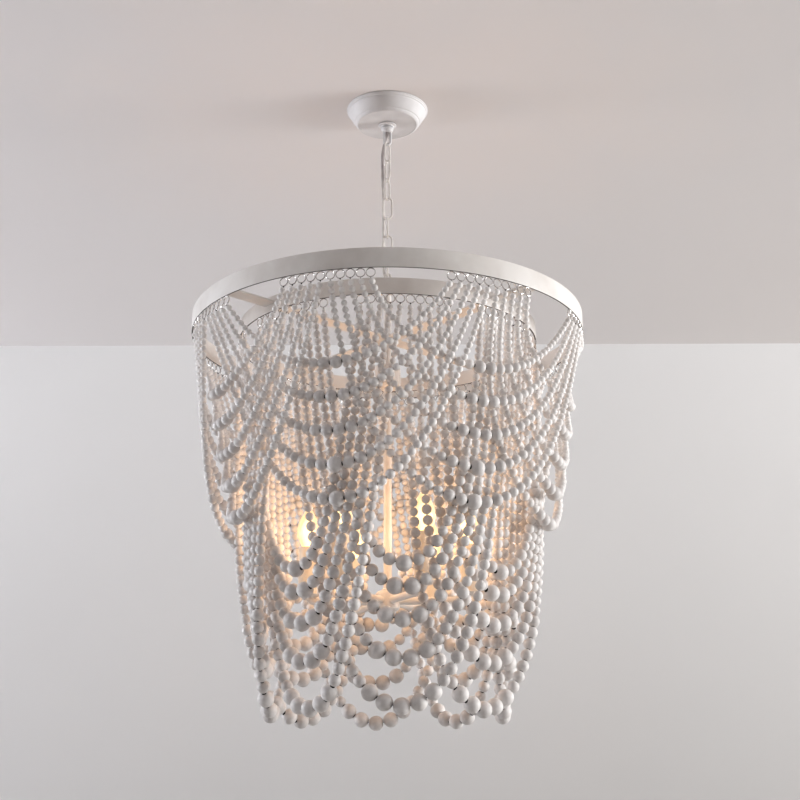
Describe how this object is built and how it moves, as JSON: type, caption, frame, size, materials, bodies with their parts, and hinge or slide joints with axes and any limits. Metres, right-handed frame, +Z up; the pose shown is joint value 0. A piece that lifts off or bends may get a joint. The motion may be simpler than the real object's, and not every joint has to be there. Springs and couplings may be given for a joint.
{
  "type": "beaded chandelier",
  "caption": "Chain-hung ceiling light: two flat hoops carry nested swags of wooden beads on small wire rings around a cluster of candle lamps.",
  "frame": {"origin": "centre of the bracket's top face, on the ceiling plane, on the light's own axis", "axes": "+Z up to the ceiling, -Y towards the viewer, +X to the picture's right"},
  "size_m": [0.6, 0.6, 0.9758],
  "materials": {
    "canopy_paint": "semi-gloss white powder coat",
    "chain_paint": "semi-gloss white paint",
    "frame_paint": "satin white paint",
    "stem_paint": "satin white paint",
    "zinc_steel": "zinc plated",
    "cable_sheath": "smooth cable sheath",
    "candle_sleeve": "ivory candle sleeve",
    "lit_bulb": "frosted glass, lit warm",
    "wooden_beads": "matt whitewashed wood"
  },
  "bodies": {
    "ceiling_body": {"ceiling_strap": "zinc_steel", "threaded_nipple": "zinc_steel", "canopy": "canopy_paint", "screw_collar": "canopy_paint", "canopy_loop": "canopy_paint", "supply_cable": "cable_sheath"},
    "link_body_1": {"chain_link_1": "chain_paint"},
    "link_body_2": {"chain_link_2": "chain_paint"},
    "link_body_3": {"chain_link_3": "chain_paint"},
    "link_body_4": {"chain_link_4": "chain_paint"},
    "link_body_5": {"chain_link_5": "chain_paint"},
    "link_body_6": {"chain_link_6": "chain_paint"},
    "link_body_7": {"chain_link_7": "chain_paint"},
    "fixture_body": {"stem_loop": "stem_paint", "stem": "stem_paint", "spoke_frame": "frame_paint", "outer_hoop": "frame_paint", "inner_hoop": "frame_paint", "wiring_cup": "stem_paint", "lamp_hub": "stem_paint", "hub_cap": "stem_paint", "lamp_arm_1": "stem_paint", "candle_sleeve_1": "candle_sleeve", "bulb_1": "lit_bulb", "lamp_arm_2": "stem_paint", "candle_sleeve_2": "candle_sleeve", "bulb_2": "lit_bulb", "lamp_arm_3": "stem_paint", "candle_sleeve_3": "candle_sleeve", "bulb_3": "lit_bulb", "lamp_arm_4": "stem_paint", "candle_sleeve_4": "candle_sleeve", "bulb_4": "lit_bulb", "lamp_arm_5": "stem_paint", "candle_sleeve_5": "candle_sleeve", "bulb_5": "lit_bulb", "lamp_arm_6": "stem_paint", "candle_sleeve_6": "candle_sleeve", "bulb_6": "lit_bulb", "outer_swag_1": "wooden_beads", "outer_swag_2": "wooden_beads", "outer_swag_3": "wooden_beads", "outer_swag_4": "wooden_beads", "outer_swag_5": "wooden_beads", "outer_swag_6": "wooden_beads", "outer_swag_7": "wooden_beads", "outer_swag_8": "wooden_beads", "inner_swag_1": "wooden_beads", "inner_swag_2": "wooden_beads", "inner_swag_3": "wooden_beads", "inner_swag_4": "wooden_beads", "inner_swag_5": "wooden_beads", "inner_swag_6": "wooden_beads", "inner_swag_7": "wooden_beads", "inner_swag_8": "wooden_beads"}
  },
  "joints": [
    {"name": "link_1_swing", "type": "hinge", "parent": "ceiling_body", "child": "link_body_1", "pos_m": [0, 0, -0.0617], "axis": [1, 0, 0], "range_deg": [-6, 6], "deforming": ["supply_cable"]},
    {"name": "link_2_swing", "type": "hinge", "parent": "link_body_1", "child": "link_body_2", "pos_m": [0, 0, -0.094], "axis": [0.5, 0.866, 0], "range_deg": [-6, 6]},
    {"name": "link_3_swing", "type": "hinge", "parent": "link_body_2", "child": "link_body_3", "pos_m": [0, 0, -0.1267], "axis": [-0.454, 0.891, 0], "range_deg": [-6, 6]},
    {"name": "link_4_swing", "type": "hinge", "parent": "link_body_3", "child": "link_body_4", "pos_m": [0, 0, -0.1594], "axis": [0.454, 0.891, 0], "range_deg": [-6, 6]},
    {"name": "link_5_swing", "type": "hinge", "parent": "link_body_4", "child": "link_body_5", "pos_m": [0, 0, -0.1921], "axis": [1, 0, 0], "range_deg": [-6, 6]},
    {"name": "link_6_swing", "type": "hinge", "parent": "link_body_5", "child": "link_body_6", "pos_m": [0, 0, -0.2248], "axis": [0, 1, 0], "range_deg": [-6, 6]},
    {"name": "link_7_swing", "type": "hinge", "parent": "link_body_6", "child": "link_body_7", "pos_m": [0, 0, -0.2575], "axis": [1, 0, 0], "range_deg": [-6, 6]},
    {"name": "fixture_swing", "type": "hinge", "parent": "link_body_7", "child": "fixture_body", "pos_m": [0, 0, -0.2902], "axis": [0, 1, 0], "range_deg": [-6, 6]}
  ]
}
